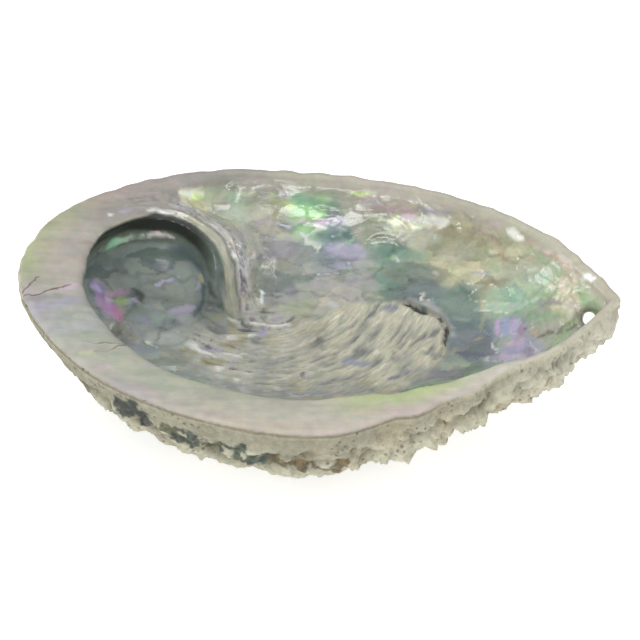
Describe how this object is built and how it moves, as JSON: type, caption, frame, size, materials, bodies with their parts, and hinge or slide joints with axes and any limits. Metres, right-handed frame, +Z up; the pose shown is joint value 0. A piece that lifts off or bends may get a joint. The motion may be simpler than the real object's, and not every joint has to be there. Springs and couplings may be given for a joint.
{
  "type": "abalone shell",
  "caption": "Natural abalone shell resting on its convex back, pearly bowl up, with a flat inner lip, a coiled spire hollow, a muscle scar, breathing pores and a rough chalky outside.",
  "frame": {"origin": "under the middle of the shell's bounding box, on the surface that it rests on", "axes": "+X along the shell's length from the spire end to the growing end, +Y from the flat lip to the far side, +Z up out of the bowl"},
  "size_m": [0.1504, 0.1038, 0.033],
  "materials": {
    "nacre": "pearly, satin to glossy, with pastel green, pink, lavender and teal patches inside; chalky and rough outside"
  },
  "bodies": {
    "root": {"abalone_shell": "nacre"}
  },
  "joints": []
}
